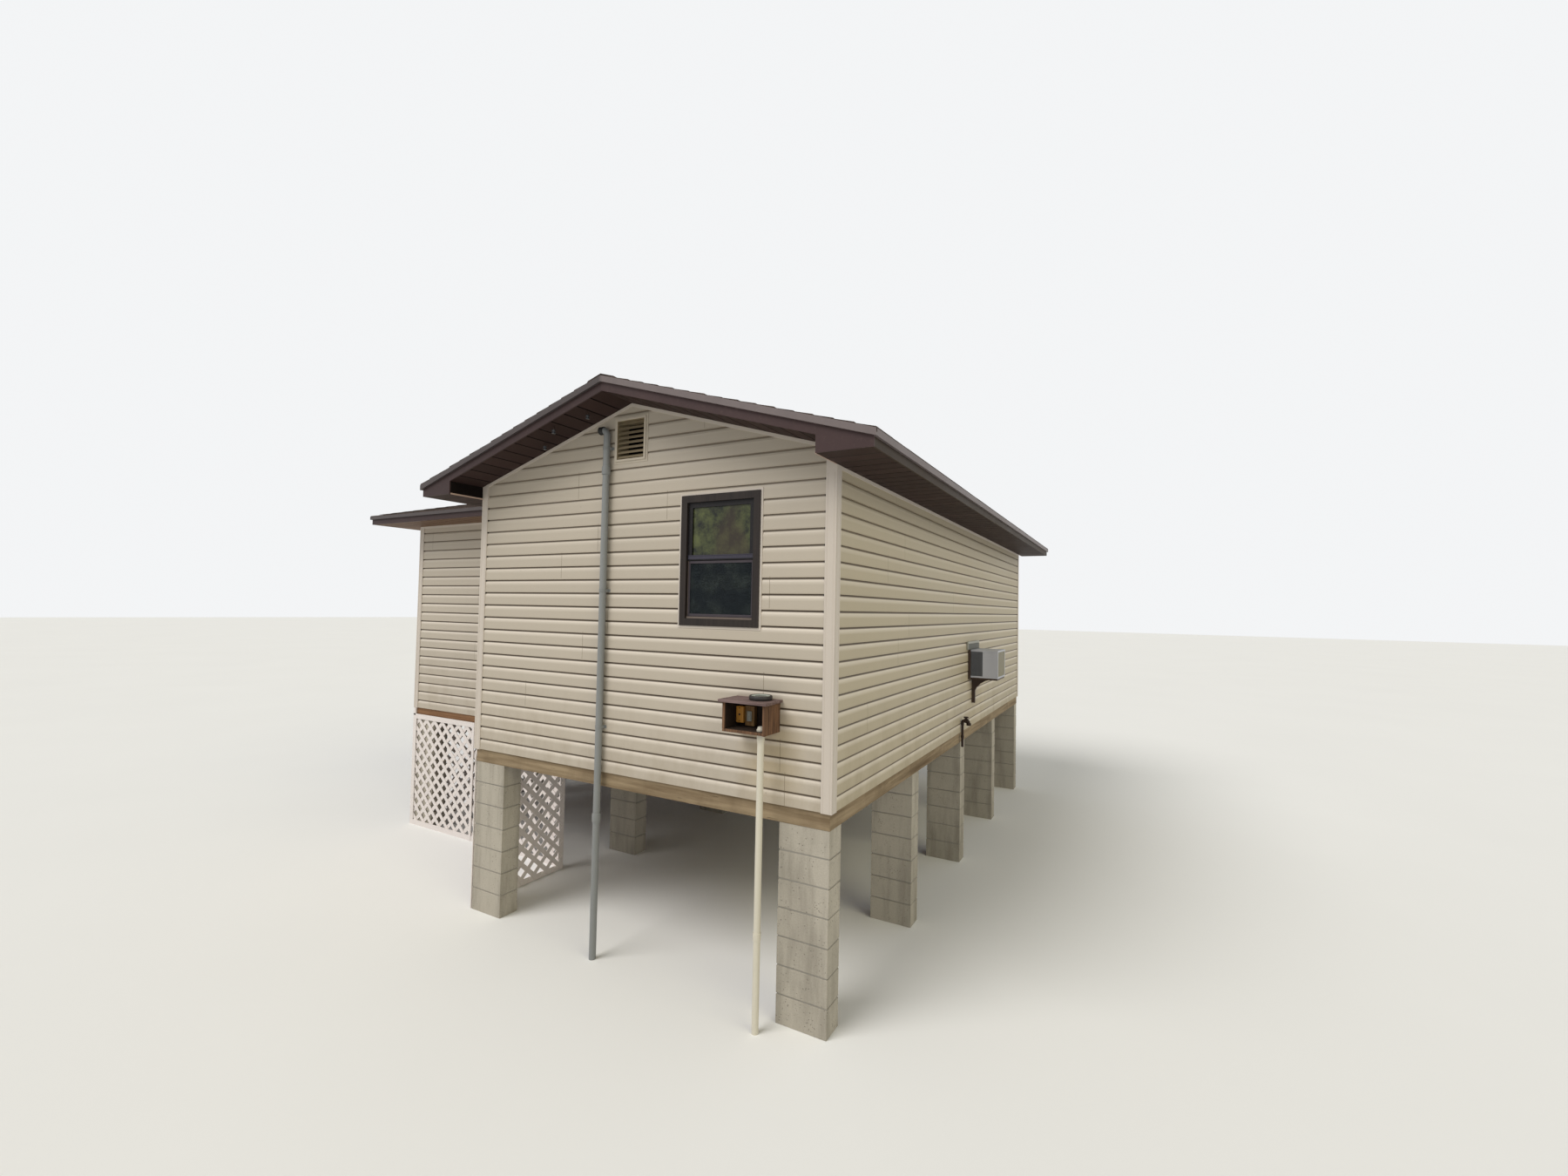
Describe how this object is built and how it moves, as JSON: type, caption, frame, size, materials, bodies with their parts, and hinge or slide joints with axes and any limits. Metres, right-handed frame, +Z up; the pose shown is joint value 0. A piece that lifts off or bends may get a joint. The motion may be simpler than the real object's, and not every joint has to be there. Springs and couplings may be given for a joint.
{
  "type": "boathouse",
  "caption": "Small gabled boathouse on piers with lapped siding, boxed eave returns and a hip-roofed side wing above a lattice skirt.",
  "frame": {"origin": "middle of the whole outline, on the level floor under the piers", "axes": "+X to the right and +Y to the back, seen from the gabled front; +Z up"},
  "size_m": [7.35, 8.12, 4.6655],
  "materials": {
    "block": "rough concrete block",
    "treated_timber": "weathered pressure-treated timber",
    "floor_deck": "plain deck boards",
    "wall_panel": "painted panel inside, sheathing outside",
    "siding": "cream lapped siding, satin",
    "trim": "cream trim, satin",
    "shingle": "dark brown mineral shingles",
    "fascia": "dark brown coated sheet",
    "drip_edge": "brown coated sheet",
    "soffit": "very dark brown grooved sheet",
    "wing_soffit": "brown grooved sheet",
    "window_frame": "dark bronze coating",
    "glass": "clear glass",
    "door": "painted door",
    "ac_case": "light grey enamel",
    "ac_header": "grey coated sheet",
    "bracket": "dark painted steel",
    "conduit": "grey conduit",
    "box_timber": "stained weathered boards",
    "outlet": "covers of the outlets",
    "post": "cream pipe",
    "lattice": "white lattice"
  },
  "bodies": {
    "root": {"main_piers": "block", "wing_piers": "block", "main_floor_frame": "treated_timber", "wing_floor_frame": "treated_timber", "main_floor": "floor_deck", "wing_floor": "floor_deck", "front_wall": "wall_panel", "back_wall": "wall_panel", "right_wall": "wall_panel", "left_wall": "wall_panel", "wing_front_wall": "wall_panel", "wing_left_wall": "wall_panel", "wing_back_wall": "wall_panel", "front_siding": "siding", "back_siding": "siding", "right_siding": "siding", "left_siding": "siding", "wing_siding": "siding", "corner_posts": "trim", "soffit_trim": "trim", "right_roof": "shingle", "left_roof": "shingle", "wing_roof": "shingle", "ridge_cap": "shingle", "wing_caps": "shingle", "rake_fascias": "fascia", "eave_fascias": "fascia", "wing_fascia": "fascia", "drip_edges": "drip_edge", "rake_soffits": "soffit", "eave_soffits": "soffit", "eave_returns": "soffit", "wing_soffit": "wing_soffit", "gable_vents": "trim", "window_trims": "trim", "window_frames": "window_frame", "window_sashes": "window_frame", "window_glass": "glass", "back_door": "door", "air_conditioner": "ac_case", "ac_header": "ac_header", "ac_bracket": "bracket", "service_mast": "conduit", "cable_hooks": "bracket", "outlet_box": "box_timber", "outlets": "outlet", "round_cover": "bracket", "outlet_post": "post", "spigot": "bracket", "wing_front_lattice": "lattice", "wing_left_lattice": "lattice", "wing_back_lattice": "lattice", "main_left_lattice": "lattice"}
  },
  "joints": []
}
